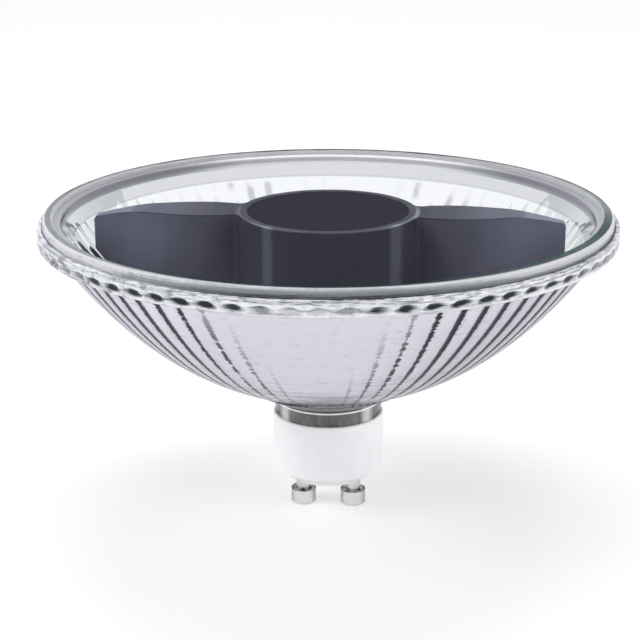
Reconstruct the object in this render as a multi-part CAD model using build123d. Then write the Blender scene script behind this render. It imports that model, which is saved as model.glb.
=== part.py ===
"""Reflector spotlight bulb, 111 mm, with a two-pin twist-lock cap.

A pressed-glass bowl with 72 flutes, silvered, carries a flat clear front glass.
A dark cast bridge, a round hub between two upright wings, stands on a stem in the bowl
and holds the light sources on its underside, so that they shine back into the bowl.
The driver sits inside the hub, and its supply leads run down the stem to the cap's pins.

Millimetres. Z runs up the lamp's axis, from the pin ends (Z = 0) to the front glass.
The two pins and the two wings lie on the X axis.
"""
import os
from math import cos, radians, sin, sqrt
from build123d import *

# Overall sizes
LAMP_HEIGHT = 61.4
RIM_R = 55.5
GLASS_THICK = 1.6
GLASS_PROUD = 1.6
RIM_Z = LAMP_HEIGHT - GLASS_PROUD
DATUM_Z = 60.7

# Bowl: depth below the datum plane is a parabola with a small fourth-power term
VERTEX_DEPTH = 36.4
FOCAL_LENGTH = 27.5
QUARTIC = 0.857e-6
WALL = 2.5
FLUTES = 72
FLUTE_PITCH = 360 / FLUTES
FLUTE_DEPTH_PER_R = 0.010
FLUTE_FOOT_R = 13.0
FLUTE_TOP_R = 52.8

# Rim bead and its row of scallops
BEAD_HEIGHT = 3.2
BEAD_ROUND = 0.5
BEAD_FOOT_R = 51.2
BEAD_FOOT_Z = 54.8
SEAT_R = 54.5
SEAT_DEPTH = 0.65
SEAT_BORE_R = 51.0
SCALLOP_R = 1.6
SCALLOP_DEPTH = 0.4
SCALLOP_Z = RIM_Z - 1.95

# Front glass and its bonding ring
GLASS_R = 54.4
GLASS_BEVEL = 0.5
SEAL_IN_R = 52.4
SEAL_OUT_R = 54.2

# Neck under the bowl, with three moulded steps
NECK_R = 10.6
NECK_BORE_R = 7.6
SPIGOT_R = 9.2
SPIGOT_Z = 13.0
STEP_RADII = (17.0, 14.4, 12.2)
STEP_DEPTHS = (34.3, 35.6, 36.7)
STEP_SLOPE = 0.25

# Cap
CAP_R = 11.0
CAP_TOP_Z = 20.1
CAP_BOTTOM_Z = 6.7
CAP_FOOT_R = 8.0
CAP_CHAMFER = 2.3
CAP_BORE_R = 9.6
CAP_FLOOR = 3.3

# Contact pins
PIN_SPACING = 10.0
PIN_HEAD_R = 2.5
PIN_HEAD = 3.0
PIN_STEM_R = 1.5
PIN_EDGE = 0.3
PIN_RIVET_R = 2.2
PIN_RIVET = 0.7

# Bridge: hub and wings
HUB_R = 17.2
HUB_TOP_Z = 59.55
HUB_BOTTOM_Z = 36.7
HUB_BORE_R = 15.0
HUB_FLOOR = 2.5
COVER_R = 15.6
COVER_THICK = 1.2
WING_ROOT_X = HUB_R - 1.5
WING_ROOT_HALF = 3.4
WING_BELLY_X = 27.0
WING_BELLY_HALF = 5.2
WING_WAIST_X = 36.0
WING_WAIST_HALF = 3.1
WING_LEVEL_X = 34.0
WING_SHOULDER_X = 40.5
WING_SHOULDER_Z = 58.9
WING_TIP_X = 45.4
WING_TIP_HALF = 1.2
WING_TIP_Z = 57.9
WING_TIP_SLOPE = -0.24
WING_TIP_ROUND = 0.8
WING_FOOT_X = 30.0
WING_GAP = 0.7
WING_FILLET = 1.5

# Stem, collar and nut
STEM_R = 3.5
STEM_SHOULDER_R = 4.3
STEM_BORE_R = 2.6
STEM_FOOT_Z = 21.0
STEM_TOP_Z = 42.2
COLLAR_Z = 22.5
COLLAR_THICK = 4.0
NUT_ACROSS_FLATS = 9.0
NUT_THICK = 2.4

# Light engine under the hub
PAD_THICK = 0.3
BOARD_IN_R = 4.6
BOARD_OUT_R = 15.4
BOARD_THICK = 1.6
EMITTERS = 9
EMITTER_RING_R = 9.2
EMITTER_SIZE = 3.0
EMITTER_THICK = 0.7
SCREW_R = 1.0
SCREW_HEAD_R = 1.7
SCREW_HEAD = 1.1
LIGHT_SCREWS = 3
LIGHT_SCREW_RING_R = 13.2
LIGHT_SCREW_BITE = 1.8

# Driver inside the hub
SLEEVE_R = 14.9
SLEEVE_WALL = 0.7
DRIVER_R = 13.8
DRIVER_Z = 44.0
DRIVER_THICK = 1.2
POST_RING_R = 11.6
POST_R = 1.7
POSTS = 3
LEAD_R = 0.55
LEAD_X = 1.3
LIGHT_LEAD_Y = 6.4
LIGHT_LEAD_HOLE_R = 0.9

CAP_FLOOR_Z = CAP_BOTTOM_Z + CAP_FLOOR
HUB_FLOOR_Z = HUB_BOTTOM_Z + HUB_FLOOR
PAD_Z = HUB_BOTTOM_Z - PAD_THICK
LIGHT_BOARD_Z = PAD_Z - BOARD_THICK
DRIVER_TOP_Z = DRIVER_Z + DRIVER_THICK


def bowl_z(r):
    """Height of the bowl's outer face at radius r."""
    return DATUM_Z - VERTEX_DEPTH + r ** 2 / (4 * FOCAL_LENGTH) + QUARTIC * r ** 4


def bowl_slope(r):
    """Rise of the bowl's outer face per unit of radius."""
    return r / (2 * FOCAL_LENGTH) + 4 * QUARTIC * r ** 3


def inner_z(r, thickness=WALL):
    """Height of a face that lies one thickness inside the bowl's outer face."""
    return bowl_z(r) + thickness * sqrt(1 + bowl_slope(r) ** 2)


def polar(r, degrees, z=0.0):
    return (r * cos(radians(degrees)), r * sin(radians(degrees)), z)


def disc(r, z, height, bore=0.0):
    """Plain round plate, with a round hole where a bore is given."""
    plate = Pos(0, 0, z) * Cylinder(r, height, align=(Align.CENTER, Align.CENTER, Align.MIN))
    if bore:
        plate -= Pos(0, 0, z) * Cylinder(bore, height, align=(Align.CENTER, Align.CENTER, Align.MIN))
    return plate


def spread(shape, count, first=0.0):
    """Copies of a shape, evenly spaced about the lamp's axis."""
    return [Rot(0, 0, first + 360 / count * i) * shape for i in range(count)]


def turned(points):
    """Solid of revolution from an (r, z) outline of straight sides."""
    return revolve(make_face(Plane.XZ * Polyline(*points, close=True)), Axis.Z)


def lobed_section(r):
    """Horizontal section of the fluted bowl: one shallow arc for each flute."""
    valley_r = r * (1 - FLUTE_DEPTH_PER_R)
    arcs = []
    for i in range(FLUTES):
        start = i * FLUTE_PITCH
        arcs.append(ThreePointArc(
            polar(valley_r, start, bowl_z(r)),
            polar(r, start + FLUTE_PITCH / 2, bowl_z(r)),
            polar(valley_r, start + FLUTE_PITCH, bowl_z(r))))
    return Face(Wire(arcs))


def fluted_body():
    """The bowl's outside as a solid, lofted through lobed sections."""
    sections = 7
    step = (FLUTE_TOP_R - FLUTE_FOOT_R) / (sections - 1)
    return loft([lobed_section(FLUTE_FOOT_R + step * i) for i in range(sections)])


def rim_bead():
    bottom_z = RIM_Z - BEAD_HEIGHT
    ring = turned([
        (SEAT_BORE_R - WALL, RIM_Z), (RIM_R, RIM_Z), (RIM_R, bottom_z),
        (BEAD_FOOT_R, BEAD_FOOT_Z), (SEAT_BORE_R - WALL, BEAD_FOOT_Z)])
    outer = [e for e in ring.edges().filter_by(GeomType.CIRCLE) if abs(e.radius - RIM_R) < 0.01]
    return fillet(outer, BEAD_ROUND)


def neck_body():
    inside_z = bowl_z(STEP_RADII[0]) + 1.0
    outline = [(NECK_BORE_R - 2, inside_z), (STEP_RADII[0], inside_z)]
    inner_radii = STEP_RADII[1:] + (NECK_R,)
    for r, depth, inner_r in zip(STEP_RADII, STEP_DEPTHS, inner_radii):
        outline.append((r, DATUM_Z - depth))
        outline.append((inner_r, DATUM_Z - depth - STEP_SLOPE))
    outline += [(NECK_R, CAP_TOP_Z), (SPIGOT_R, CAP_TOP_Z), (SPIGOT_R, SPIGOT_Z),
                (NECK_BORE_R - 2, SPIGOT_Z)]
    return turned(outline)


def bowl_cavity():
    """The space inside the bowl and its neck, up through the seat for the front glass."""
    seat_z = RIM_Z - SEAT_DEPTH
    radii = (NECK_BORE_R, 18.0, 28.0, 38.0, 46.0, SEAT_BORE_R)
    wall_line = Spline(*[(r, inner_z(r)) for r in radii])
    top_z = RIM_Z + 1.0
    rest = Polyline(
        (SEAT_BORE_R, inner_z(SEAT_BORE_R)), (SEAT_BORE_R, seat_z), (SEAT_R, seat_z), (SEAT_R, top_z),
        (0, top_z), (0, SPIGOT_Z - 1), (NECK_BORE_R, SPIGOT_Z - 1), (NECK_BORE_R, inner_z(NECK_BORE_R)))
    return revolve(make_face(Plane.XZ * Curve(children=[wall_line, rest])), Axis.Z)


def scallops():
    """One shallow round dent in the bead above each flute."""
    centre_r = RIM_R + SCALLOP_R - SCALLOP_DEPTH
    dent = Pos(*polar(centre_r, FLUTE_PITCH / 2, SCALLOP_Z)) * Sphere(SCALLOP_R)
    return spread(dent, FLUTES)


def reflector():
    body = fluted_body() + rim_bead() + neck_body()
    return body - bowl_cavity() - scallops()


def front_glass():
    seat_z = RIM_Z - SEAT_DEPTH
    seal = LAMP_HEIGHT - GLASS_THICK - seat_z
    plate = disc(GLASS_R, seat_z + seal, GLASS_THICK)
    return chamfer(plate.edges().group_by(Axis.Z)[-1], GLASS_BEVEL)


def rim_seal():
    seat_z = RIM_Z - SEAT_DEPTH
    return disc(SEAL_OUT_R, seat_z, LAMP_HEIGHT - GLASS_THICK - seat_z, bore=SEAL_IN_R)


def wing_side():
    """Right-hand wing from the side: level top that falls to the tip, lower edge along the bowl."""
    gap = WALL + WING_GAP
    tip_foot_r = 45.6
    tip_foot = (tip_foot_r, inner_z(tip_foot_r, gap))
    belly = (38.0, inner_z(38.0, gap))
    foot = (WING_FOOT_X, inner_z(WING_FOOT_X, gap))
    level = Line((WING_ROOT_X, HUB_TOP_Z), (WING_LEVEL_X, HUB_TOP_Z))
    fall = Spline((WING_LEVEL_X, HUB_TOP_Z), (WING_SHOULDER_X, WING_SHOULDER_Z), (WING_TIP_X, WING_TIP_Z),
                  tangents=[(1, 0), (1, WING_TIP_SLOPE)])
    tip = Line((WING_TIP_X, WING_TIP_Z), tip_foot)
    under = ThreePointArc(tip_foot, belly, foot)
    base = Polyline(foot, (WING_FOOT_X - 2, HUB_BOTTOM_Z), (WING_ROOT_X, HUB_BOTTOM_Z),
                    (WING_ROOT_X, HUB_TOP_Z))
    return make_face(Plane.XZ * Curve(children=[level, fall, tip, under, base]))


def wing_plan():
    """Right-hand wing from above: leaf-shaped, widest a little way out from the hub."""
    def flank(side):
        return Spline((WING_ROOT_X, side * WING_ROOT_HALF), (WING_BELLY_X, side * WING_BELLY_HALF),
                      (WING_WAIST_X, side * WING_WAIST_HALF), (WING_TIP_X, side * WING_TIP_HALF))
    tip = Line((WING_TIP_X, -WING_TIP_HALF), (WING_TIP_X, WING_TIP_HALF))
    root = Line((WING_ROOT_X, -WING_ROOT_HALF), (WING_ROOT_X, WING_ROOT_HALF))
    return make_face(Curve(children=[flank(1), tip, flank(-1), root]))


def wing():
    """Where the wing's side view and its plan overlap, with the tip's upper corner rounded."""
    leaf = Pos(0, 0, HUB_BOTTOM_Z) * extrude(wing_plan(), LAMP_HEIGHT - HUB_BOTTOM_Z)
    plate = extrude(wing_side(), WING_BELLY_HALF + 1, both=True) & leaf
    tip_edge = [e for e in plate.edges().filter_by(Axis.Y)
                if abs(e.center().X - WING_TIP_X) < 0.01 and abs(e.center().Z - WING_TIP_Z) < 0.01]
    return fillet(tip_edge, WING_TIP_ROUND)


def bridge():
    """Hub with its two wings, driver posts and holes, cast in one piece."""
    height = HUB_TOP_Z - HUB_BOTTOM_Z
    body = disc(HUB_R, HUB_BOTTOM_Z, height) + spread(wing(), 2)
    roots = [e for e in body.edges() if e.geom_type != GeomType.CIRCLE
             and HUB_R - 0.3 < sqrt(e.center().X ** 2 + e.center().Y ** 2) < HUB_R + 0.3]
    body = fillet(roots, WING_FILLET)
    body -= disc(HUB_BORE_R, HUB_FLOOR_Z, height)
    body -= disc(COVER_R, HUB_TOP_Z - COVER_THICK, height)
    body += spread(Pos(POST_RING_R, 0, 0) * disc(POST_R, HUB_FLOOR_Z, DRIVER_Z - HUB_FLOOR_Z), POSTS, 90)
    body -= spread(Pos(POST_RING_R, 0, 0) * disc(SCREW_R, DRIVER_Z - 3, 3), POSTS, 90)
    body -= disc(STEM_R, HUB_BOTTOM_Z, HUB_FLOOR)
    body -= spread(Pos(LIGHT_SCREW_RING_R, 0, 0) * disc(SCREW_R, HUB_BOTTOM_Z, LIGHT_SCREW_BITE),
                   LIGHT_SCREWS, 30)
    body -= spread(Pos(0, LIGHT_LEAD_Y, 0) * disc(LIGHT_LEAD_HOLE_R, HUB_BOTTOM_Z, HUB_FLOOR), 2)
    return body


def hub_cover():
    plate = disc(COVER_R, HUB_TOP_Z - COVER_THICK, COVER_THICK)
    return chamfer(plate.edges().group_by(Axis.Z)[-1], 0.2)


def stem():
    """Hollow post between the neck collar and the hub, with a shoulder under the hub."""
    collar_top = COLLAR_Z + COLLAR_THICK
    return turned([
        (STEM_BORE_R, STEM_FOOT_Z), (STEM_R, STEM_FOOT_Z), (STEM_R, collar_top),
        (STEM_SHOULDER_R, collar_top), (STEM_SHOULDER_R, HUB_BOTTOM_Z), (STEM_R, HUB_BOTTOM_Z),
        (STEM_R, STEM_TOP_Z), (STEM_BORE_R, STEM_TOP_Z)])


def stem_nut():
    blank = Pos(0, 0, HUB_FLOOR_Z) * extrude(
        RegularPolygon(NUT_ACROSS_FLATS / 2, 6, major_radius=False), NUT_THICK)
    return blank - disc(STEM_R, HUB_FLOOR_Z, NUT_THICK)


def stem_collar():
    return disc(NECK_BORE_R, COLLAR_Z, COLLAR_THICK, bore=STEM_R)


def thermal_pad():
    pad = disc(BOARD_OUT_R, PAD_Z, PAD_THICK, bore=BOARD_IN_R)
    pad -= spread(Pos(LIGHT_SCREW_RING_R, 0, 0) * disc(SCREW_R, PAD_Z, PAD_THICK), LIGHT_SCREWS, 30)
    return pad - spread(Pos(0, LIGHT_LEAD_Y, 0) * disc(LIGHT_LEAD_HOLE_R, PAD_Z, PAD_THICK), 2)


def light_board():
    board = disc(BOARD_OUT_R, LIGHT_BOARD_Z, BOARD_THICK, bore=BOARD_IN_R)
    return board - spread(
        Pos(LIGHT_SCREW_RING_R, 0, 0) * disc(SCREW_R, LIGHT_BOARD_Z, BOARD_THICK), LIGHT_SCREWS, 30)


def emitters():
    chip = Pos(EMITTER_RING_R, 0, LIGHT_BOARD_Z - EMITTER_THICK) * Box(
        EMITTER_SIZE, EMITTER_SIZE, EMITTER_THICK, align=(Align.CENTER, Align.CENTER, Align.MIN))
    return Compound(children=spread(chip, EMITTERS, 10))


def screw(shank_z, shank, head_z):
    """Small pan-head screw; the head lies above the shank where head_z is the higher."""
    return disc(SCREW_R, shank_z, shank) + disc(SCREW_HEAD_R, head_z, SCREW_HEAD)


def light_board_screws():
    length = BOARD_THICK + PAD_THICK + LIGHT_SCREW_BITE
    one = Pos(LIGHT_SCREW_RING_R, 0, 0) * screw(LIGHT_BOARD_Z, length, LIGHT_BOARD_Z - SCREW_HEAD)
    return Compound(children=spread(one, LIGHT_SCREWS, 30))


def driver_screws():
    one = Pos(POST_RING_R, 0, 0) * screw(DRIVER_Z - 3, 3 + DRIVER_THICK, DRIVER_TOP_Z)
    return Compound(children=spread(one, POSTS, 90))


def driver_board():
    board = disc(DRIVER_R, DRIVER_Z, DRIVER_THICK)
    return board - spread(Pos(POST_RING_R, 0, 0) * disc(SCREW_R, DRIVER_Z, DRIVER_THICK), POSTS, 90)


def insulating_sleeve():
    top = HUB_TOP_Z - COVER_THICK - 0.2
    return disc(SLEEVE_R, HUB_FLOOR_Z, top - HUB_FLOOR_Z, bore=SLEEVE_R - SLEEVE_WALL)


def on_driver(shape, x, y):
    return Pos(x, y, DRIVER_TOP_Z) * shape


def standing_box(length, width, height):
    return Box(length, width, height, align=(Align.CENTER, Align.CENTER, Align.MIN))


def transformer_core():
    """Two-window core: outer frame and centre limb in one closed piece."""
    frame = standing_box(10, 6, 9)
    for side in (-1, 1):
        frame -= Pos(side * 3.0, 0, 1.5) * standing_box(3.0, 6, 6)
    return on_driver(frame, -5.5, 1.0)


def transformer_winding():
    coil = standing_box(8.4, 8.4, 5.4) - standing_box(3.0, 6.0, 5.4)
    coil = fillet(coil.edges().filter_by(Axis.Z).sort_by_distance((0, 0, 2.7))[-4:], 1.2)
    window = standing_box(9.8, 8.5, 5.4) - standing_box(8.5, 8.5, 5.4)
    return on_driver(Pos(0, 0, 1.8) * (coil - window), -5.5, 1.0)


def smoothing_capacitor():
    can = Cylinder(4.0, 10.5, align=(Align.CENTER, Align.CENTER, Align.MIN))
    can = fillet(can.edges().group_by(Axis.Z)[-1], 0.5)
    return on_driver(can, 6.0, 3.0)


def film_capacitor():
    block = fillet(standing_box(8, 3.2, 7).edges().group_by(Axis.Z)[-1], 0.4)
    return on_driver(block, 4.0, -8.0)


def rectifier():
    return on_driver(standing_box(4.8, 4.0, 1.9), -4.6, -6.4)


def driver_chip():
    return on_driver(standing_box(4.9, 3.9, 1.5), 4.2, -3.9)


def fuse_resistor():
    body = fillet(Cylinder(1.2, 6.5).edges(), 0.3)
    return on_driver(Pos(0, 0, 1.2) * Rot(0, 90, 0) * body, -5.8, 9.0)


def supply_lead(side):
    """Bare lead from a pin's rivet, through neck and stem, to the driver board."""
    x_pin = side * PIN_SPACING / 2
    x_stem = side * LEAD_X
    start_z = CAP_FLOOR_Z + PIN_RIVET
    path = FilletPolyline(
        (x_pin, 0, start_z), (x_pin, 0, 14.0), (x_stem, 0, 19.5), (x_stem, 0, DRIVER_Z), radius=2.0)
    return sweep(Pos(x_pin, 0, start_z) * Circle(LEAD_R), path=path)


def light_leads():
    one = Pos(0, LIGHT_LEAD_Y, 0) * disc(LEAD_R, PAD_Z, DRIVER_Z - PAD_Z)
    return Compound(children=spread(one, 2))


def cap():
    """White cap: cylinder with a chamfered foot, bored for the neck and for the pins."""
    body = turned([
        (0, CAP_BOTTOM_Z), (CAP_FOOT_R, CAP_BOTTOM_Z), (CAP_R, CAP_BOTTOM_Z + CAP_CHAMFER),
        (CAP_R, CAP_TOP_Z), (CAP_BORE_R, CAP_TOP_Z), (CAP_BORE_R, CAP_FLOOR_Z), (0, CAP_FLOOR_Z)])
    top_edge = body.edges().group_by(Axis.Z)[-1].sort_by(SortBy.RADIUS)[-1]
    body = fillet(top_edge, 0.4)
    return body - spread(Pos(PIN_SPACING / 2, 0, 0) * disc(PIN_STEM_R, CAP_BOTTOM_Z, CAP_FLOOR), 2)


def neck_cement():
    return disc(CAP_BORE_R, SPIGOT_Z, CAP_TOP_Z - SPIGOT_Z, bore=SPIGOT_R)


def contact_pin(side):
    pin = turned([
        (0, 0), (PIN_HEAD_R - PIN_EDGE, 0), (PIN_HEAD_R, PIN_EDGE), (PIN_HEAD_R, PIN_HEAD),
        (PIN_STEM_R, PIN_HEAD), (PIN_STEM_R, CAP_FLOOR_Z), (PIN_RIVET_R, CAP_FLOOR_Z),
        (PIN_RIVET_R, CAP_FLOOR_Z + PIN_RIVET), (0, CAP_FLOOR_Z + PIN_RIVET)])
    return Pos(side * PIN_SPACING / 2, 0, 0) * pin


PIECES = {
    "reflector": reflector,
    "front_glass": front_glass,
    "rim_seal": rim_seal,
    "bridge": bridge,
    "hub_cover": hub_cover,
    "stem": stem,
    "stem_nut": stem_nut,
    "stem_collar": stem_collar,
    "thermal_pad": thermal_pad,
    "light_board": light_board,
    "emitters": emitters,
    "light_board_screws": light_board_screws,
    "light_leads": light_leads,
    "insulating_sleeve": insulating_sleeve,
    "driver_board": driver_board,
    "driver_screws": driver_screws,
    "transformer_core": transformer_core,
    "transformer_winding": transformer_winding,
    "smoothing_capacitor": smoothing_capacitor,
    "film_capacitor": film_capacitor,
    "rectifier": rectifier,
    "driver_chip": driver_chip,
    "fuse_resistor": fuse_resistor,
    "cap": cap,
    "neck_cement": neck_cement,
}

os.makedirs("parts", exist_ok=True)
for name, make in PIECES.items():
    export_step(make(), f"parts/{name}.step")
for name, side in (("left", -1), ("right", 1)):
    export_step(contact_pin(side), f"parts/contact_pin_{name}.step")
    export_step(supply_lead(side), f"parts/supply_lead_{name}.step")
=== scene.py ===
"""Looks of a reflector spotlight bulb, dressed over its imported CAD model."""
import math

import bpy
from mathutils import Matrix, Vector


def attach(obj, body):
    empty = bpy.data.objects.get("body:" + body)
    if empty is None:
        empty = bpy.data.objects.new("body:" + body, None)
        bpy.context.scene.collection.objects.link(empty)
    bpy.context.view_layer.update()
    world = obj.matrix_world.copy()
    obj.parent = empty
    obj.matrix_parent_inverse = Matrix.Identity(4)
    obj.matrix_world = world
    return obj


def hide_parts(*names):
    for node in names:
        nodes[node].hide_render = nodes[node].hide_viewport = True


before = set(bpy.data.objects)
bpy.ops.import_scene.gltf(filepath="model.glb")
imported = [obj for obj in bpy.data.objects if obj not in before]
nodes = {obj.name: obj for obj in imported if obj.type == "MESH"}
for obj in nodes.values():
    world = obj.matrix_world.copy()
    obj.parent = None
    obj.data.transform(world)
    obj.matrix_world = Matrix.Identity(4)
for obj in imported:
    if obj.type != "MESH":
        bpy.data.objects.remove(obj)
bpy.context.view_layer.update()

MM = 0.001

# Sizes in millimetres, as in the part's source
LAMP_HEIGHT = 61.4
RIM_R = 55.5
GLASS_PROUD = 1.6
RIM_Z = LAMP_HEIGHT - GLASS_PROUD
DATUM_Z = 60.7
VERTEX_DEPTH = 36.4
FOCAL_LENGTH = 27.5
QUARTIC = 0.857e-6
WALL = 2.5
FLUTES = 72
FLUTE_DEPTH_PER_R = 0.010
FLUTE_TOP_R = 52.8
BEAD_HEIGHT = 3.2
BEAD_ROUND = 0.5
SEAT_R = 54.5
SEAT_DEPTH = 0.65
SEAT_BORE_R = 51.0
GLASS_R = 54.4
HUB_R = 17.2
HUB_TOP_Z = 59.55
PIN_SPACING = 10.0
PIN_HEAD_R = 2.5
PIN_HEAD = 3.0
SCALLOP_DEPTH = 0.4
SCALLOP_Z = RIM_Z - 1.95
NECK_R = 10.6
NECK_BORE_R = 7.6
SPIGOT_R = 9.2
SPIGOT_Z = 13.0
STEP_RADII = (17.0, 14.4, 12.2)
STEP_DEPTHS = (34.3, 35.6, 36.7)
STEP_SLOPE = 0.25
CAP_TOP_Z = 20.1

# Finer forms that only the looks have
SCALLOP_HALF_WIDTH = 1.95
SCALLOP_HALF_HEIGHT = 0.72
POCKET_HALF_WIDTH = 2.35
POCKET_HALF_HEIGHT = 0.58
INNER_FLUTE_DEPTH = 0.35
RING_PITCH = 1.15
INNER_FLUTE_TOP_Z = 55.2
FLUTE_RUN_IN = 3.0
INNER_FLUTE_FOOT_R = (12.0, 18.0)
INNER_FLUTE_RUN_OUT = 1.2
UNDER_BEAD = ((53.2, 56.1), (54.2, 56.45))

# Places that the finishes refer to
FLUTE_MEAN_R = 40.0
FOOT_RING_Z = 27.6
COAT_TOP_Z = 57.4
NECK_RING_Z = CAP_TOP_Z + 2.75
NECK_END_X = 8.0
GLASS_EDGE_R = 53.9
BOND_IN_R = 52.85
BOND_OUT_R = 53.84

# Fineness of the reflector's mesh
STEPS_PER_FLUTE = 8
STEPS_ROUND = STEPS_PER_FLUTE * FLUTES
OUTSIDE_ROWS = 62
INSIDE_ROWS = 50
BEAD_ROWS = 14
BORE_ROWS = 4
ROUND_STEPS = 4
ROW_GAP = 0.1
NUDGE = 0.02

# Broken edges of the reflector; pairs are offsets in r and z from the sharp corner
SPIGOT_CUT = 0.2
EDGE_CUT = 0.1
STEP_FOOT = ((0.0, -0.12), (0.12, 0.0))
STEP_LIP = ((-0.15, -0.03), (-0.03, 0.08))
BORE_LIP = ((0.3, 0.0), (0.05, -0.1), (0.0, -0.3))

# Where the plain bore begins under the seat, and the bead's outer face
BORE_START = 0.6
BEAD_FACE_R = RIM_R - 0.2


# Formulas and finishes

def feed(tree, socket, value):
    """Gives a node's input its value: a Number is linked, a plain number is set."""
    if isinstance(value, Number):
        tree.links.new(value.socket, socket)
    else:
        socket.default_value = value


class Number:
    """A number worked out inside a material. Plain arithmetic on it makes Math nodes."""

    def __init__(self, tree, socket):
        self.tree = tree
        self.socket = socket

    def math(self, operation, *others):
        node = self.tree.nodes.new("ShaderNodeMath")
        node.operation = operation
        for socket, value in zip(node.inputs, (self,) + others):
            feed(self.tree, socket, value)
        return Number(self.tree, node.outputs[0])

    def __add__(self, other):
        return self.math("ADD", other)

    def __sub__(self, other):
        return self.math("SUBTRACT", other)

    def __mul__(self, other):
        return self.math("MULTIPLY", other)

    def __truediv__(self, other):
        return self.math("DIVIDE", other)

    def flipped(self):
        """One minus the number."""
        return self.math("MULTIPLY_ADD", -1.0, 1.0)

    def absolute(self):
        return self.math("ABSOLUTE")

    def away_from(self, value):
        """Distance on either side of a value."""
        return (self - value).absolute()

    def between(self, start, end, low=0.0, high=1.0):
        """Smooth step: low at start, high at end."""
        node = self.tree.nodes.new("ShaderNodeMapRange")
        node.interpolation_type = "SMOOTHSTEP"
        self.tree.links.new(self.socket, node.inputs["Value"])
        node.inputs["From Min"].default_value = min(start, end)
        node.inputs["From Max"].default_value = max(start, end)
        node.inputs["To Min"].default_value = low if start < end else high
        node.inputs["To Max"].default_value = high if start < end else low
        return Number(self.tree, node.outputs["Result"])


def ramp_colour(tree, factor, stops, easing="LINEAR"):
    """Colour socket of a ramp over a number: stops are (place, (r, g, b))."""
    ramp = tree.nodes.new("ShaderNodeValToRGB")
    ramp.color_ramp.interpolation = easing
    elements = ramp.color_ramp.elements
    while len(elements) < len(stops):
        elements.new(0.5)
    for element, (place, rgb) in zip(elements, stops):
        element.position = place
        element.color = (*rgb, 1.0)
    feed(tree, ramp.inputs[0], factor)
    return ramp.outputs[0]


class Finish:
    """A Principled material whose detail is worked out from the object's own millimetres."""

    def __init__(self, name, colour, roughness, metallic=0.0, **sockets):
        self.material = bpy.data.materials.new(name)
        self.material.use_nodes = True
        self.tree = self.material.node_tree
        self.shader = self.tree.nodes["Principled BSDF"]
        self.shader.inputs["Base Color"].default_value = (*colour, 1.0)
        self.shader.inputs["Roughness"].default_value = roughness
        self.shader.inputs["Metallic"].default_value = metallic
        for socket, value in sockets.items():
            self.shader.inputs[socket.replace("_", " ")].default_value = value
        place = self.tree.nodes.new("ShaderNodeTexCoord")
        scaled = self.tree.nodes.new("ShaderNodeVectorMath")
        scaled.operation = "SCALE"
        scaled.inputs["Scale"].default_value = 1 / MM
        self.tree.links.new(place.outputs["Object"], scaled.inputs[0])
        self.place = scaled.outputs[0]
        apart = self.tree.nodes.new("ShaderNodeSeparateXYZ")
        self.tree.links.new(self.place, apart.inputs[0])
        self.x, self.y, self.z = (Number(self.tree, s) for s in apart.outputs)

    def radius(self):
        """Distance from the lamp's axis."""
        return (self.x * self.x + self.y * self.y).math("SQRT")

    def arc(self, radius):
        """Millimetres round the axis, at that radius."""
        return self.y.math("ARCTAN2", self.x) * radius

    def sideways(self):
        """0 on the lamp's front and back, 1 on its left and right."""
        return self.x.absolute() / self.radius()

    def behind(self):
        """0 on the lamp's front half, 1 on its back."""
        return self.y.between(-6.0, 14.0)

    def flute_phase(self):
        """Runs from 0 to 1 across each flute, from one valley to the next."""
        return self.arc(FLUTES / (2 * math.pi)).math("FRACT")

    def from_valley(self):
        """0 in a flute's valley, 0.5 on its crest."""
        return self.flute_phase().math("PINGPONG", 0.5)

    def cloudy(self, place, scale, detail):
        """Cloudy number about 0 to 1, worked out from a place given as a socket."""
        node = self.tree.nodes.new("ShaderNodeTexNoise")
        node.inputs["Scale"].default_value = scale
        node.inputs["Detail"].default_value = detail
        self.tree.links.new(place, node.inputs["Vector"])
        return Number(self.tree, node.outputs[0])

    def noise(self, size, detail, stretch=(1, 1, 1)):
        """Cloudy number in blotches of about that many millimetres."""
        mapping = self.tree.nodes.new("ShaderNodeMapping")
        mapping.inputs["Scale"].default_value = [1 / (size * s) for s in stretch]
        self.tree.links.new(self.place, mapping.inputs["Vector"])
        return self.cloudy(mapping.outputs[0], 1.0, detail)

    def noise_round(self, x, y, z, size, detail):
        """Cloudy number from three given coordinates, for grain that follows a shape."""
        joined = self.tree.nodes.new("ShaderNodeCombineXYZ")
        for socket, value in zip(joined.inputs, (x, y, z)):
            feed(self.tree, socket, value)
        return self.cloudy(joined.outputs[0], 1.0 / size, detail)

    def colour(self, factor, *stops):
        """Base colour as a ramp over a number: stops are (place, (r, g, b))."""
        tinted = ramp_colour(self.tree, factor, stops, "EASE")
        self.tree.links.new(tinted, self.shader.inputs["Base Color"])

    def metallic(self, number):
        feed(self.tree, self.shader.inputs["Metallic"], number)

    def roughness(self, number):
        feed(self.tree, self.shader.inputs["Roughness"], number)

    def relief(self, height, distance):
        """Bump that rises by the given millimetres where the height goes from 0 to 1."""
        bump = self.tree.nodes.new("ShaderNodeBump")
        bump.inputs["Strength"].default_value = 1.0
        bump.inputs["Distance"].default_value = distance * MM
        feed(self.tree, bump.inputs["Height"], height)
        self.tree.links.new(bump.outputs[0], self.shader.inputs["Normal"])

    def paint(self, *pieces):
        for piece in pieces:
            piece.data.materials.clear()
            piece.data.materials.append(self.material)


def speckled(name, colour, roughness, metallic, size, depth, change):
    """Plain finish with fine grain, a little uneven in colour and in gloss."""
    finish = Finish(name, colour, roughness, metallic)
    cloud = finish.noise(size * 6, 4.0)
    dark = tuple(c * (1 - change) for c in colour)
    pale = tuple(min(1.0, c * (1 + change)) for c in colour)
    finish.colour(cloud, (0.3, dark), (0.7, pale))
    finish.roughness(cloud.between(0.2, 0.8, roughness * 0.85, min(1.0, roughness * 1.2)))
    finish.relief(finish.noise(size, 3.0), distance=depth)
    return finish


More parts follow.
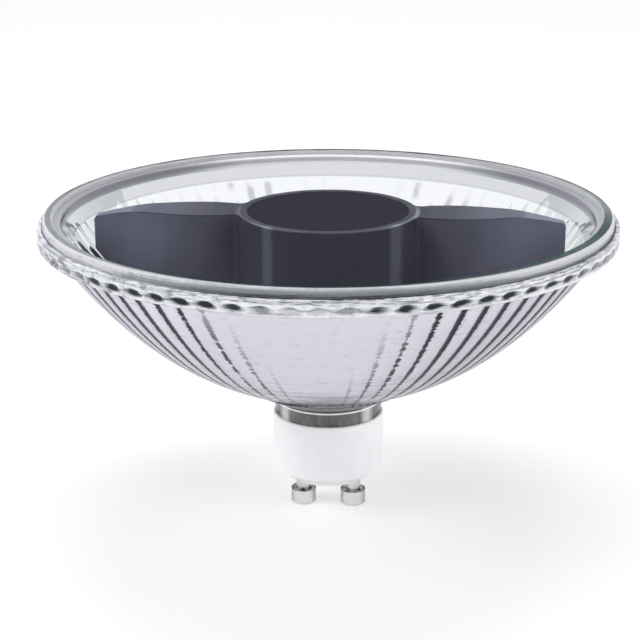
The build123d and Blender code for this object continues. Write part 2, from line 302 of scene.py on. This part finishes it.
# Reflector

def bowl_z(r):
    """Height of the bowl's outside at a distance from the axis."""
    return DATUM_Z - VERTEX_DEPTH + r ** 2 / (4 * FOCAL_LENGTH) + QUARTIC * r ** 4


def bowl_slope(r):
    return r / (2 * FOCAL_LENGTH) + 4 * QUARTIC * r ** 3


def inner_z(r):
    return bowl_z(r) + WALL * math.sqrt(1 + bowl_slope(r) ** 2)


def smooth(value, start, end):
    """0 up to start, 1 from end on, and a smooth rise between."""
    t = min(1.0, max(0.0, (value - start) / (end - start)))
    return t * t * (3 - 2 * t)


def spaced(start, end, count):
    """Evenly spaced numbers from start to end, both included."""
    return [start + (end - start) * i / count for i in range(count + 1)]


def quarter_round(centre_r, centre_z, radius, start):
    """Points on a quarter circle, as (r, z), from the start angle in degrees."""
    points = []
    for step in range(ROUND_STEPS + 1):
        angle = math.radians(start + 90 / ROUND_STEPS * step)
        points.append((centre_r + radius * math.cos(angle), centre_z + radius * math.sin(angle)))
    return points


def reflector_profile():
    """Closed outline of the glass as (r, z, zone, fluting), once round the wall's section."""
    points = []
    for r, z in ((NECK_BORE_R, SPIGOT_Z), (SPIGOT_R - SPIGOT_CUT, SPIGOT_Z),
                 (SPIGOT_R, SPIGOT_Z + SPIGOT_CUT), (SPIGOT_R, CAP_TOP_Z),
                 (NECK_R - EDGE_CUT, CAP_TOP_Z), (NECK_R, CAP_TOP_Z + EDGE_CUT)):
        points.append((r, z, "neck", 0))
    radii = (NECK_R,) + STEP_RADII[::-1]
    depths = STEP_DEPTHS[::-1]
    for index, depth in enumerate(depths):
        r_in = radii[index]
        r_out = radii[index + 1]
        z = DATUM_Z - depth
        for out, up in STEP_FOOT:
            points.append((r_in + out, z - STEP_SLOPE + up, "neck", 0))
        for out, up in STEP_LIP:
            points.append((r_out + out, z + up, "neck", 0))
    foot = STEP_RADII[0]
    for r in spaced(foot + NUDGE, FLUTE_TOP_R, OUTSIDE_ROWS):
        points.append((r, bowl_z(r), "outside", smooth(r, foot, foot + FLUTE_RUN_IN)))
    bead_low = RIM_Z - BEAD_HEIGHT
    bead = [(FLUTE_TOP_R + NUDGE, bowl_z(FLUTE_TOP_R) + 0.05), *UNDER_BEAD]
    bead += quarter_round(RIM_R - BEAD_ROUND, bead_low + BEAD_ROUND, BEAD_ROUND, -90)
    for z in spaced(bead_low + BEAD_ROUND + ROW_GAP, RIM_Z - BEAD_ROUND - ROW_GAP, BEAD_ROWS):
        bead.append((RIM_R, z))
    bead += quarter_round(RIM_R - BEAD_ROUND, RIM_Z - BEAD_ROUND, BEAD_ROUND, 0)
    seat_z = RIM_Z - SEAT_DEPTH
    bead += [(SEAT_R + EDGE_CUT, RIM_Z), (SEAT_R, RIM_Z - EDGE_CUT),
             (SEAT_R, seat_z + EDGE_CUT), (SEAT_R - EDGE_CUT, seat_z)]
    for r, z in bead:
        points.append((r, z, "bead", 0))
    for out, up in BORE_LIP:
        points.append((SEAT_BORE_R + out, seat_z + up, "inside", 0))
    for z in spaced(seat_z - BORE_START, inner_z(SEAT_BORE_R), BORE_ROWS):
        points.append((SEAT_BORE_R, z, "inside", 0))
    for r in spaced(SEAT_BORE_R - ROW_GAP, NECK_BORE_R + ROW_GAP, INSIDE_ROWS):
        z = inner_z(r)
        fluting = smooth(INNER_FLUTE_TOP_Z - z, 0, INNER_FLUTE_RUN_OUT)
        points.append((r, z, "inside", fluting * smooth(r, *INNER_FLUTE_FOOT_R)))
    points.append((NECK_BORE_R, inner_z(NECK_BORE_R) - ROW_GAP, "neck", 0))
    return points


def flute_dip(phase):
    """How far between crest (0) and valley (1) a place across a flute lies."""
    return (2 * phase - 1) ** 2


def scallop_dip(phase, r, z):
    """Depth in millimetres of the dent in the bead above each flute."""
    across = (phase - 0.5) * 2 * math.pi * r / FLUTES / SCALLOP_HALF_WIDTH
    up = (z - SCALLOP_Z) / SCALLOP_HALF_HEIGHT
    inside = max(0.0, 1 - across * across - up * up)
    return SCALLOP_DEPTH * inside * (2 - inside)


def build_reflector():
    profile = reflector_profile()
    zones = ["outside", "bead", "inside", "neck"]
    vertices = []
    for r, z, zone, fluting in profile:
        for step in range(STEPS_ROUND):
            phase = (step % STEPS_PER_FLUTE) / STEPS_PER_FLUTE
            here = r
            if zone == "outside":
                here -= fluting * FLUTE_DEPTH_PER_R * r * flute_dip(phase)
            elif zone == "inside":
                here += fluting * INNER_FLUTE_DEPTH * (1 - flute_dip(phase))
            elif zone == "bead" and r > BEAD_FACE_R:
                here -= scallop_dip(phase, r, z)
            angle = 2 * math.pi * step / STEPS_ROUND
            vertices.append((here * math.cos(angle) * MM, here * math.sin(angle) * MM, z * MM))
    faces = []
    slots = []
    rows = len(profile)
    for row in range(rows):
        above = (row + 1) % rows
        for step in range(STEPS_ROUND):
            beside = (step + 1) % STEPS_ROUND
            faces.append((row * STEPS_ROUND + step, row * STEPS_ROUND + beside,
                          above * STEPS_ROUND + beside, above * STEPS_ROUND + step))
            slots.append(zones.index(profile[above][2]))
    mesh = bpy.data.meshes.new("silvered_bowl")
    mesh.from_pydata(vertices, [], faces)
    mesh.polygons.foreach_set("material_index", slots)
    mesh.polygons.foreach_set("use_smooth", [True] * len(faces))
    mesh.update()
    piece = bpy.data.objects.new("silvered_bowl", mesh)
    bpy.context.collection.objects.link(piece)
    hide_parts("reflector")
    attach(piece, "root")
    return piece


# Tone ramps from light to dark; their darker stops colour the painted shade and painted reflections
# worked out below
SILVER_TONES = ((0.0, (0.73, 0.73, 0.79)), (0.14, (0.59, 0.585, 0.645)),
                (0.4, (0.36, 0.36, 0.39)), (0.9, (0.035, 0.035, 0.045)))
BEAD_TONES = ((0.0, (0.76, 0.76, 0.80)), (0.2, (0.56, 0.57, 0.61)),
              (0.45, (0.30, 0.31, 0.34)), (0.95, (0.03, 0.033, 0.04)))
MIRROR_TONES = ((0.0, (0.995, 0.995, 1.0)), (0.5, (0.66, 0.66, 0.70)), (1.0, (0.22, 0.22, 0.25)))
NECK_TONES = ((0.0, (0.055, 0.052, 0.052)), (0.35, (0.30, 0.29, 0.29)), (1.0, (0.85, 0.85, 0.87)))


def valley_reflections_and_shade(finish, arc, fine_rings):
    """Painted dark reflection as a jagged line in each valley, broken into beads towards the front."""
    sideways = finish.sideways()
    behind = finish.behind()
    beads = finish.noise_round(arc * 0.08, 8.0, finish.z, 0.72, 1.0).between(0.40, 0.58)
    ragged = finish.noise_round(arc, 0.0, finish.z * 1.6, 0.5, 2.0)
    broken = sideways.between(0.50, 0.36) * behind.flipped()
    from_valley = finish.from_valley()
    edge = from_valley + sideways.between(0.5, 0.95) * -0.03 + broken * (beads * -0.11 + 0.11)
    edge = edge + (ragged - 0.5) * 0.20 + (fine_rings - 0.5) * 0.10
    reach = sideways + (finish.z * -0.008 + 0.40) + behind * 0.5
    above_foot = finish.z.between(25.5, 29.0)
    line = edge.between(0.175, 0.09) * reach.between(0.21, 0.40) * above_foot
    # painted shade beside each valley, stronger towards the left and right sides
    soft = from_valley.between(0.36, 0.05) * sideways.between(0.3, 0.85)
    return line * (broken * -0.25 + 1.05) + soft * 0.24


def mould_rings_and_shading(finish, arc):
    """Grey rings left by the mould, with painted shade that darkens the bowl towards its foot and a
    painted dark ring just above its join with the neck.
    """
    coarse = finish.noise_round(arc * 0.04, 6.0, finish.z, 0.9, 2.0)
    # cloudy grey that grows towards the foot is painted shade
    cloudy = coarse.between(0.50, 0.62) * (finish.z.between(42.0, 28.5) * 0.34 + 0.02)
    waves = finish.z * (1 / RING_PITCH) + (coarse - 0.5) * 0.5
    pressed = waves.math("FRACT").math("PINGPONG", 0.5).between(0.24, 0.10)
    low_front = finish.z.between(37.0, 30.0) * finish.sideways().between(0.6, 0.3)
    # painted shade: a dark ring just above the join with the neck, and darkening towards the foot
    painted_foot_ring = finish.z.away_from(FOOT_RING_Z).between(0.55, 0.30)
    foot_painted_shade = finish.z.between(40.0, 27.0) * 0.08 + finish.z.between(32.3, 29.6) * 0.42
    return cloudy + pressed * low_front * 0.22 + painted_foot_ring * 0.42 + foot_painted_shade


def outside_finish():
    """Silvered flutes seen through the glass, with painted dark reflections in the valleys and painted
    shade towards the sides and the foot.
    """
    finish = Finish("bowl_outside", (0.88, 0.89, 0.90), 0.16, 1.0,
                    Specular_Tint=(0.84, 0.84, 0.87, 1.0))
    arc = finish.arc(FLUTE_MEAN_R)
    fine_rings = finish.noise_round(arc * 0.05, 0.0, finish.z, 0.42, 3.0)
    flecks = finish.noise_round(arc * 0.6, 5.0, finish.z * 1.6, 1.2, 2.0).between(0.52, 0.72)
    # painted shade, greyer towards the left and right sides, plus random grey flecks
    grey = finish.sideways().between(0.45, 1.0) * 0.22 + flecks * 0.06
    finish.colour(valley_reflections_and_shade(finish, arc, fine_rings) + grey + mould_rings_and_shading(finish, arc),
                  *SILVER_TONES)
    finish.relief(fine_rings + finish.noise(0.35, 2.0) * 0.3, distance=0.12)
    return finish.material


def pocket_shade(finish, left, mottle):
    """Painted shade in the dent above each flute, leaning with the rim and fainter in front."""
    sideways = finish.sideways()
    across = (finish.flute_phase() - 0.5) * (2 * math.pi * RIM_R / FLUTES / POCKET_HALF_WIDTH)
    across = across * sideways.between(0.65, 1.0, 1.0, 0.6)
    up = (finish.z - SCALLOP_Z) * (1 / POCKET_HALF_HEIGHT) * sideways.between(0.4, 0.7, 1.0, 1.15)
    lean = across * finish.x.math("SIGN")
    tilted = up - lean * 0.30
    spot = (across * across + tilted * tilted).math("SQRT") + (mottle - 0.5) * 0.9
    dark = spot.between(1.22, 0.40) * lean.between(1.0, -0.2, 0.30, 1.0)
    strength = sideways.between(0.02, 0.30, 0.22, 1.05).math("MAXIMUM", finish.behind())
    strength = strength * sideways.between(1.0, 0.72, 0.40, 1.0)
    return dark * strength * (sideways.between(0.62, 0.76) * left * -0.45 + 1.0)


def bead_finish():
    """Pressed-glass rim: mottled, with painted shade on its left, in the dent above each flute and along
    its top.
    """
    finish = Finish("rim_bead", (0.75, 0.77, 0.77), 0.12, 1.0)
    arc = finish.arc(RIM_R)
    r = finish.radius()
    left = finish.x.between(-5.0, -35.0)
    mottle = finish.noise_round(arc * 0.45, r, finish.z, 1.0, 4.0)
    streak = finish.noise_round(arc * 0.08, r * 1.5, finish.z * 2.2, 1.0, 2.0)
    bits = finish.noise_round(arc * 0.35, 4.0, finish.z * 2.4, 0.8, 2.0)
    upper = finish.z.between(RIM_Z - 1.2, RIM_Z - 0.8)
    # random mottle and streaks; painted shade makes the left side darker and more mottled
    marks = mottle.between(0.46, 0.70) * (left * 0.26 + 0.14) + streak.between(0.48, 0.64) * 0.26
    marks = marks + bits.between(0.46, 0.62) * upper * (left * -0.16 + 0.32) + left * 0.06
    # painted shadow along the bead's top next to the glass, weaker on the left
    joint_shadow = r.between(RIM_R - 0.3, RIM_R - 0.5) * finish.z.between(RIM_Z - 0.3, RIM_Z - 0.2)
    joint_shadow = joint_shadow * (left * -0.9 + 1.0) * finish.sideways().between(0.75, 0.3, 0.2, 0.55)
    finish.colour(pocket_shade(finish, left, mottle) + marks + joint_shadow, *BEAD_TONES)
    finish.metallic(finish.z.between(RIM_Z - 0.3, RIM_Z - 0.15) * left * -0.85 + 1.0)
    finish.relief(mottle, distance=0.25)
    return finish.material


def inside_finish():
    """Mirror coat: bright flutes with painted dark reflections, a painted grey reflection on the smooth
    band above them, and bare glass at the mouth.
    """
    finish = Finish("bowl_inside", (0.86, 0.87, 0.89), 0.03, 1.0)
    cloud = finish.noise(6.0, 3.0)
    # painted grey reflection on the smooth band, with a painted dark line where the flutes stop
    band = finish.z.between(INNER_FLUTE_TOP_Z - 0.1, INNER_FLUTE_TOP_Z + 0.3)
    line = finish.z.away_from(INNER_FLUTE_TOP_Z).between(0.28, 0.1)
    across = finish.x.absolute()
    # painted dark reflections in the flutes' valleys, strongest beside the hub
    near_hub = across.between(12.0, 17.0) * across.between(33.0, 22.0)
    uneven = finish.noise(9.0, 2.0).between(0.4, 0.6)
    fluted = finish.z.between(INNER_FLUTE_TOP_Z, INNER_FLUTE_TOP_Z - 0.8)
    dark_flute_reflections = finish.from_valley().between(0.32, 0.05) * uneven * fluted * (near_hub * 0.36 + 0.10)
    bare = finish.z.between(COAT_TOP_Z - 0.2, COAT_TOP_Z + 0.2)
    dulled = bare * (across.between(12.0, 42.0) * 0.50 + 0.14)
    finish.colour(band * 0.30 + line * 0.30 + cloud * 0.03 + dark_flute_reflections + dulled, *MIRROR_TONES)
    finish.roughness(cloud.between(0.3, 0.7, 0.015, 0.05))
    finish.metallic(bare.flipped())
    return finish.material


def neck_finish():
    """Clear glass neck, painted dark as the shaded inside seen through it, with painted shade in the
    grooves between its steps and painted light and shade on its wall.
    """
    finish = Finish("neck_glass", (0.11, 0.105, 0.10), 0.12, 0.0, IOR=1.5)
    r = finish.radius()
    across = finish.x.absolute()
    streaks = finish.noise(1.2, 3.0, stretch=(1, 1, 4))
    # painted highlight ring round the neck, painted light near its left and right with darker outer
    # edges, and painted shade above the ring
    ring = finish.z.away_from(NECK_RING_Z).between(0.24, 0.10)
    side_light_and_shade = across.away_from(NECK_END_X).between(1.3, 0.3) + across.between(9.0, 10.2) * -0.5
    above = finish.z.between(NECK_RING_Z + 0.1, NECK_RING_Z + 0.2) * -0.25
    outer = r.between(NECK_R + 0.2, NECK_R + 0.5)
    # painted shade in the grooves between the steps
    step_crease_shade = None
    for edge in STEP_RADII:
        near = r.away_from(edge).between(0.7, 0.3)
        step_crease_shade = near if step_crease_shade is None else step_crease_shade.math("MAXIMUM", near)
    steps = outer * (step_crease_shade * -0.9 + 1.0)
    wall = outer.flipped() * (ring * 0.8 + side_light_and_shade * 0.55 + above)
    finish.colour(steps + wall + streaks * 0.26 - 0.02, *NECK_TONES)
    finish.relief(streaks, distance=0.08)
    return finish.material


# One finish for each zone, in the order of the mesh's slots
bowl = build_reflector()
for make in (outside_finish, bead_finish, inside_finish, neck_finish):
    bowl.data.materials.append(make())


# Front glass

def mixed_shaders(tree, factor, first, second):
    """Mix of two surfaces; the factor is the share of the second."""
    mixed = tree.nodes.new("ShaderNodeMixShader")
    feed(tree, mixed.inputs[0], factor)
    tree.links.new(first, mixed.inputs[1])
    tree.links.new(second, mixed.inputs[2])
    return mixed.outputs[0]


GLASS_TINT = (0.982, 0.987, 0.992)
GLASS_IOR = 1.5
GLASS_SHINE = 0.008
# Tones of the pane's edge and of the ring over the bond, which carry painted light and shade
EDGE_LIGHT_TONES = ((0.0, (0.08, 0.085, 0.088)), (0.15, (0.15, 0.16, 0.165)),
                (0.28, (0.22, 0.235, 0.25)), (0.70, (0.29, 0.305, 0.32)),
                (0.88, (0.40, 0.41, 0.43)), (1.0, (0.53, 0.53, 0.55)))
BOND_SHADE_TONES = ((0.35, (0.030, 0.050, 0.052)), (0.75, (0.07, 0.10, 0.10)))


def shaded_band(tree, factor, stops):
    """Opaque matt surface coloured by a ramp over a number."""
    shader = tree.nodes.new("ShaderNodeBsdfPrincipled")
    shader.inputs["Roughness"].default_value = 0.4
    shader.inputs["Specular IOR Level"].default_value = 0.0
    tree.links.new(ramp_colour(tree, factor, stops), shader.inputs["Base Color"])
    return shader.outputs[0]


def clear_pane(finish):
    """See-through glass with a faint shine."""
    tree = finish.tree
    through = tree.nodes.new("ShaderNodeBsdfRefraction")
    through.inputs["Color"].default_value = (*GLASS_TINT, 1.0)
    through.inputs["Roughness"].default_value = 0.0
    through.inputs["IOR"].default_value = GLASS_IOR
    return mixed_shaders(tree, GLASS_SHINE, through.outputs[0], finish.shader.outputs[0])


def painted_ground_edge(finish, arc, left, right, streak):
    """Ground rim of the pane, as an opaque band in painted light and shade: dark low down, pale above,
    lighter on the left and right, mottled on the left.
    """
    rough_grind = finish.noise_round(arc, 2.0, finish.z * 1.5, 0.8, 3.0)
    height = (finish.z - RIM_Z) * (1 / GLASS_PROUD)
    grind = (streak - 0.5) * (left * 0.7 + right * 0.4 + 0.8)
    grind = grind + (rough_grind - 0.5) * (left * 0.75 + 0.25)
    # painted dark line high on the edge at the left and right, and painted light that lifts both sides
    line = height.away_from(0.72).between(0.07, 0.03) * (left * 0.3 + right * 0.1)
    lifted = (left * 0.85 + right * 0.62) * height.between(-0.35, 0.02)
    tone = height * (left * -0.45 + 1.0) + grind + lifted - line
    return shaded_band(finish.tree, tone, EDGE_LIGHT_TONES)


def bond_shade_share(finish, right):
    """Where the bond under the pane shows through its top as painted dark shade, widest and strongest at
    the near right.
    """
    near_right = right * finish.y.between(10.0, -12.0)
    r = finish.radius()
    ring = (r + near_right * 0.6).between(BOND_IN_R - 0.1, BOND_IN_R + 0.1)
    ring = ring * r.between(BOND_OUT_R + 0.04, BOND_OUT_R - 0.04)
    on_top = finish.z.between(LAMP_HEIGHT - 0.05, LAMP_HEIGHT - 0.02)
    return ring * on_top * (near_right * 0.50 + 0.42) * finish.y.between(25.0, -5.0, 0.6, 1.0)


def glass_finish():
    """Clear coated glass with a ground edge, which lets the lamps' light through; its edge and the ring
    over the bond carry painted light and shade.
    """
    finish = Finish("front_glass_clear", GLASS_TINT, 0.0, 0.0, IOR=GLASS_IOR, Transmission_Weight=1.0)
    tree = finish.tree
    arc = finish.arc(GLASS_R)
    left = finish.x.between(-8.0, -40.0)
    right = finish.x.between(15.0, 42.0)
    streak = finish.noise_round(arc * 0.10, 0.0, finish.z * 3.6, 1.0, 3.0)
    on_edge = finish.radius().between(GLASS_EDGE_R - 0.05, GLASS_EDGE_R + 0.05)
    edge = painted_ground_edge(finish, arc, left, right, streak)
    pane = mixed_shaders(tree, on_edge, clear_pane(finish), edge)
    # painted dark shade over the bond
    bond = shaded_band(tree, streak, BOND_SHADE_TONES)
    pane = mixed_shaders(tree, bond_shade_share(finish, right), pane, bond)
    path = tree.nodes.new("ShaderNodeLightPath")
    shadow = Number(tree, path.outputs["Is Shadow Ray"])
    clear = tree.nodes.new("ShaderNodeBsdfTransparent")
    surface = mixed_shaders(tree, shadow, pane, clear.outputs[0])
    tree.links.new(surface, tree.nodes["Material Output"].inputs["Surface"])
    return finish


glass_finish().paint(nodes["front_glass"])
speckled("seal_silicone", (0.56, 0.56, 0.58), 0.35, 0.0, 1.0, 0.03, 0.05).paint(nodes["rim_seal"])


# Bridge and hub cover

HUB_LIGHT_SHIFT = 0.085
EDGE_HIGHLIGHT_GREY = (0.42, 0.42, 0.46)


def satin_paint(name, colour, roughness, edge_shine, gloss):
    """Dark satin paint, uneven in tone, with painted light and shade: bands on the hub, paler wings, a
    darker top and a highlight along the hub's upper edge.
    """
    finish = Finish(name, colour, roughness, Specular_IOR_Level=gloss)
    cloud = finish.noise(9.0, 4.0)
    r = finish.radius()
    turn = (finish.x / r - HUB_LIGHT_SHIFT).absolute()
    on_hub = r.between(HUB_R + 0.8, HUB_R + 0.2)
    # painted highlight bands on the hub's sides, and painted shade on its left flank
    bands = turn.between(0.58, 0.68) * turn.between(0.80, 0.71) * (edge_shine * 0.34)
    hub = on_hub * (bands - finish.x.between(-12.6, -14.6) * 0.30 - 0.15)
    # painted light: wings paler out towards their tips, on the right and at their roots
    wings = r.between(HUB_R + 1.0, HUB_R + 22.0) * (finish.x.between(10.0, 45.0) * 0.08 + 0.27)
    wings = wings + r.between(HUB_R + 0.4, HUB_R + 2.5) * 0.06
    # painted shade on the top faces
    top = finish.z.between(HUB_TOP_Z - 0.35, HUB_TOP_Z - 0.15)
    # painted highlight along the hub's upper edge, strongest in front
    edge_highlight = r.between(HUB_R - 0.45, HUB_R - 0.2) * on_hub * top
    edge_highlight = edge_highlight * (turn.between(0.2, 0.95) * 0.6 + 0.4) * finish.y.between(9.0, -3.0, 0.25, 1.0)
    tone = cloud * 0.24 + hub + wings + 0.02 - top * 0.15 + edge_highlight * edge_shine
    deep, middle, pale = (tuple(c * share for c in colour) for share in (0.50, 1.1, 2.0))
    finish.colour(tone, (0.02, deep), (0.30, middle), (0.55, pale), (1.0, EDGE_HIGHLIGHT_GREY))
    finish.roughness(cloud.between(0.3, 0.7, roughness - 0.06, roughness + 0.08))
    finish.relief(finish.noise(0.5, 2.0), distance=0.008)
    return finish


satin_paint("dark_casting_paint", (0.079, 0.080, 0.108), 0.42, 0.8, 0.04).paint(nodes["bridge"])
satin_paint("hub_cover_paint", (0.051, 0.051, 0.070), 0.34, 0.0, 0.0).paint(nodes["hub_cover"])


# Cap, pins and inner parts

speckled("cap_ceramic", (0.84, 0.835, 0.845), 0.42, 0.0, 0.5, 0.02, 0.015).paint(nodes["cap"])
speckled("neck_cement_grain", (0.62, 0.60, 0.56), 0.85, 0.0, 0.4, 0.08, 0.12).paint(nodes["neck_cement"])


PIN_TONES = ((0.0, (0.74, 0.73, 0.74)), (0.45, (0.50, 0.49, 0.49)), (1.0, (0.10, 0.095, 0.095)))


def turned_metal(name, colour, roughness):
    """Turned metal: fine grain along the axis, a little uneven in tone and gloss."""
    finish = Finish(name, colour, roughness, 1.0)
    grain = finish.noise(0.12, 2.0, stretch=(0.02, 0.02, 1))
    cloud = finish.noise(3.0, 2.0)
    dark = tuple(c * 0.86 for c in colour)
    finish.colour(cloud, (0.35, dark), (0.65, colour))
    finish.roughness(cloud.between(0.3, 0.7, roughness * 0.8, roughness * 1.3))
    finish.relief(grain, distance=0.02)
    return finish


def pin_finish():
    """Nickel pin: bright head, with a painted shadow on its top round the stem, painted shade on its
    flanks and a darker tip.
    """
    finish = turned_metal("pin_nickel", (0.80, 0.79, 0.79), 0.2)
    # painted shadow on the head's top round the stem, fading up the stem
    shoulder = finish.z.between(PIN_HEAD - 0.12, PIN_HEAD - 0.04)
    shoulder = shoulder * finish.z.between(PIN_HEAD + 0.5, PIN_HEAD + 0.15, 0.12, 1.0)
    foot = finish.z.between(0.5, 0.1)
    grain = finish.noise(1.1, 2.0)
    shadow_and_dark_tip = shoulder * grain.between(0.40, 0.60, 0.35, 0.95) + foot * 0.25
    # painted shade along each pin's left and right flanks
    flank = finish.x.absolute().away_from(PIN_SPACING / 2).between(1.5, PIN_HEAD_R) * 0.45
    finish.colour(shadow_and_dark_tip + flank + grain * 0.15, *PIN_TONES)
    return finish


pin_finish().paint(nodes["contact_pin_left"], nodes["contact_pin_right"])
turned_metal("bright_steel_turned", (0.62, 0.62, 0.63), 0.28).paint(
    nodes["stem"], nodes["stem_nut"], nodes["light_board_screws"], nodes["driver_screws"])

# Inner parts: name of the finish, colour, roughness, metallic
INNER = {
    "stem_collar": ("grey_silicone", (0.32, 0.33, 0.34), 0.6, 0.0),
    "thermal_pad": ("grey_silicone_pad", (0.42, 0.44, 0.47), 0.7, 0.0),
    "light_board": ("white_board_mask", (0.80, 0.81, 0.79), 0.4, 0.0),
    "emitters": ("phosphor_yellow", (0.85, 0.66, 0.16), 0.5, 0.0),
    "light_leads": ("lead_insulation_red", (0.50, 0.04, 0.03), 0.45, 0.0),
    "insulating_sleeve": ("sleeve_film", (0.66, 0.66, 0.62), 0.35, 0.0),
    "driver_board": ("green_board_mask", (0.03, 0.17, 0.07), 0.35, 0.0),
    "transformer_core": ("ferrite_grey", (0.09, 0.09, 0.10), 0.6, 0.0),
    "transformer_winding": ("copper_winding_lacquer", (0.55, 0.25, 0.10), 0.3, 0.8),
    "smoothing_capacitor": ("capacitor_can_sleeve", (0.05, 0.05, 0.06), 0.3, 0.0),
    "film_capacitor": ("capacitor_resin_yellow", (0.62, 0.42, 0.06), 0.4, 0.0),
    "rectifier": ("black_resin_rectifier", (0.03, 0.03, 0.03), 0.5, 0.0),
    "driver_chip": ("black_resin_chip", (0.025, 0.025, 0.03), 0.45, 0.0),
    "fuse_resistor": ("black_resin_fuse", (0.10, 0.07, 0.05), 0.5, 0.0),
    "supply_lead_left": ("lead_tinned_left", (0.66, 0.66, 0.65), 0.3, 1.0),
    "supply_lead_right": ("lead_tinned_right", (0.66, 0.66, 0.65), 0.3, 1.0),
}
for node, (name, colour, roughness, metallic) in INNER.items():
    speckled(name, colour, roughness, metallic, 0.6, 0.02, 0.1).paint(nodes[node])


# Stage, lights and camera

STAGE_HALF = 1.6
BEND_Y = 0.7
BEND_R = 0.4
BEND_STEPS = 12
PAPER_GLOW = 0.55


def followed_by_eye(tree):
    """1 for rays that the eye follows: straight, mirrored or through glass."""
    path = tree.nodes.new("ShaderNodeLightPath")
    straight = Number(tree, path.outputs["Is Camera Ray"])
    mirrored = Number(tree, path.outputs["Is Glossy Ray"])
    through = Number(tree, path.outputs["Is Transmission Ray"])
    return straight.math("MAXIMUM", mirrored).math("MAXIMUM", through)


def make_sweep():
    """Floor that runs up into a backdrop behind the lamp, in one smooth sheet."""
    outline = [(-STAGE_HALF, 0.0), (BEND_Y, 0.0)]
    for step in range(1, BEND_STEPS + 1):
        angle = math.radians(90 / BEND_STEPS * step)
        outline.append((BEND_Y + BEND_R * math.sin(angle), BEND_R - BEND_R * math.cos(angle)))
    outline.append((BEND_Y + BEND_R, STAGE_HALF))
    vertices = []
    for y, z in outline:
        vertices += [(-STAGE_HALF, y, z), (STAGE_HALF, y, z)]
    faces = [(2 * i, 2 * i + 1, 2 * i + 3, 2 * i + 2) for i in range(len(outline) - 1)]
    mesh = bpy.data.meshes.new("backdrop")
    mesh.from_pydata(vertices, [], faces)
    mesh.polygons.foreach_set("use_smooth", [True] * len(faces))
    sheet = bpy.data.objects.new("backdrop", mesh)
    bpy.context.collection.objects.link(sheet)
    return sheet


def paper_finish():
    """Pale matt paper that the eye sees as white, but for the shadows."""
    paper = Finish("paper", (0.93, 0.93, 0.93), 0.9, Specular_IOR_Level=0.0)
    paper.relief(paper.noise(4.0, 3.0), distance=0.05)
    tree = paper.tree
    glow = tree.nodes.new("ShaderNodeEmission")
    glow.inputs["Color"].default_value = (1, 1, 1, 1)
    glow.inputs["Strength"].default_value = 1.0
    share = followed_by_eye(tree) * PAPER_GLOW
    surface = mixed_shaders(tree, share, paper.shader.outputs[0], glow.outputs[0])
    tree.links.new(surface, tree.nodes["Material Output"].inputs["Surface"])
    return paper


def make_world():
    """Soft bluish light on the lamp, white wherever the eye looks past it."""
    world = bpy.data.worlds.new("studio")
    bpy.context.scene.world = world
    world.use_nodes = True
    tree = world.node_tree
    background = tree.nodes["Background"]
    background.inputs["Color"].default_value = (0.93, 0.95, 1.0, 1.0)
    background.inputs["Strength"].default_value = 0.45
    white = tree.nodes.new("ShaderNodeBackground")
    white.inputs["Color"].default_value = (1, 1, 1, 1)
    white.inputs["Strength"].default_value = 1.0
    share = followed_by_eye(tree)
    surface = mixed_shaders(tree, share, background.outputs[0], white.outputs[0])
    tree.links.new(surface, tree.nodes["World Output"].inputs["Surface"])


paper_finish().paint(make_sweep())
make_world()


def soft_lamp(name, place, aim, size, power):
    """Rectangular lamp that lights the scene but isn't mirrored or seen through glass."""
    light = bpy.data.lights.new(name, "AREA")
    light.shape = "RECTANGLE"
    light.size, light.size_y = size
    light.energy = power
    lamp = bpy.data.objects.new(name, light)
    bpy.context.collection.objects.link(lamp)
    lamp.location = place
    direction = [a - p for a, p in zip(aim, place)]
    lamp.rotation_euler = Vector(direction).to_track_quat("-Z", "Y").to_euler()
    lamp.visible_glossy = False
    lamp.visible_transmission = False


soft_lamp("key", (-0.80, -0.32, 0.58), (0, 0, 0.03), (0.5, 0.5), 6.4)
soft_lamp("fill", (0.80, -0.28, 0.40), (0, 0, 0.03), (0.5, 0.4), 3.9)
soft_lamp("top", (0.0, 0.25, 0.9), (0, 0, 0.04), (0.6, 0.4), 5.0)

# Camera: turned a little to the lamp's right, so that its +X side is the nearer one
CAMERA_DISTANCE = 320.2 * MM
CAMERA_RISE = math.radians(14.09)
CAMERA_PITCH = math.radians(17.85)
CAMERA_TURN = math.radians(4.0)
CAMERA_ROLL = math.radians(0.12)
CAMERA_FOCAL_PX = 1660.7
CAMERA_CENTRE_PX = 327.5
IMAGE_PX = 640.0
SENSOR_WIDTH = 36.0


def add_camera():
    data = bpy.data.cameras.new("camera")
    camera = bpy.data.objects.new("camera", data)
    bpy.context.collection.objects.link(camera)
    bpy.context.scene.camera = camera
    data.sensor_width = SENSOR_WIDTH
    data.lens = CAMERA_FOCAL_PX * SENSOR_WIDTH / IMAGE_PX
    data.clip_start = 0.01
    data.clip_end = 20.0
    back = CAMERA_DISTANCE * math.cos(CAMERA_RISE)
    camera.location = (back * math.sin(CAMERA_TURN), -back * math.cos(CAMERA_TURN),
                       DATUM_Z * MM + CAMERA_DISTANCE * math.sin(CAMERA_RISE))
    aim_aside = math.atan((CAMERA_CENTRE_PX - IMAGE_PX / 2) / CAMERA_FOCAL_PX)
    camera.rotation_euler = (math.pi / 2 - CAMERA_PITCH, CAMERA_ROLL, CAMERA_TURN + aim_aside)


add_camera()
bpy.context.scene.view_settings.view_transform = "Standard"
